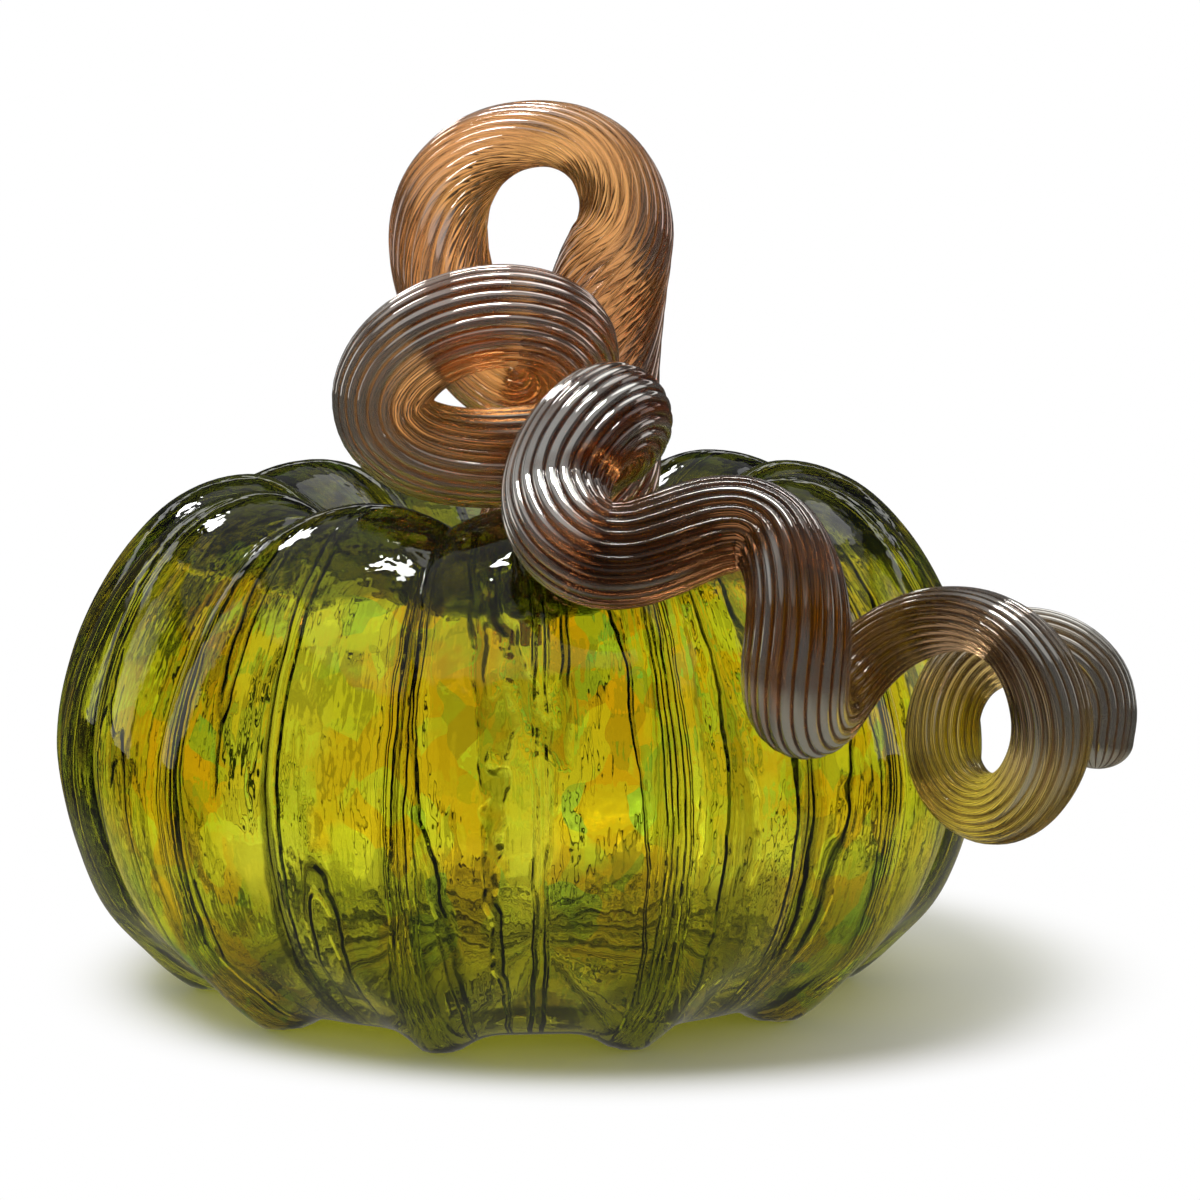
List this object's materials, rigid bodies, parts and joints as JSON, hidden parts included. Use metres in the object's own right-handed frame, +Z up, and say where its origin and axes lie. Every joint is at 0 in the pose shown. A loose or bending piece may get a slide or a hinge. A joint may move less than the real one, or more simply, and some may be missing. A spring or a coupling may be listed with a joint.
{
  "type": "glass pumpkin",
  "caption": "Blown glass pumpkin: a ribbed hollow body with a dimpled crown and a fluted glass stem that coils over its shoulder.",
  "frame": {"origin": "centre of the whole piece's bounding box, on the surface that the feet stand on", "axes": "+Z up; +X towards the stem's last curl; -Y towards the side that the coil hangs over"},
  "size_m": [0.1682, 0.1602, 0.1424],
  "materials": {
    "body_glass": "clear olive and yellow green glass with mottled colour inside, polished by fire",
    "stem_glass": "amber brown glass with fine lengthwise flutes and a pale grey lustre"
  },
  "bodies": {
    "root": {"body_shell": "body_glass", "stem": "stem_glass"}
  },
  "joints": []
}
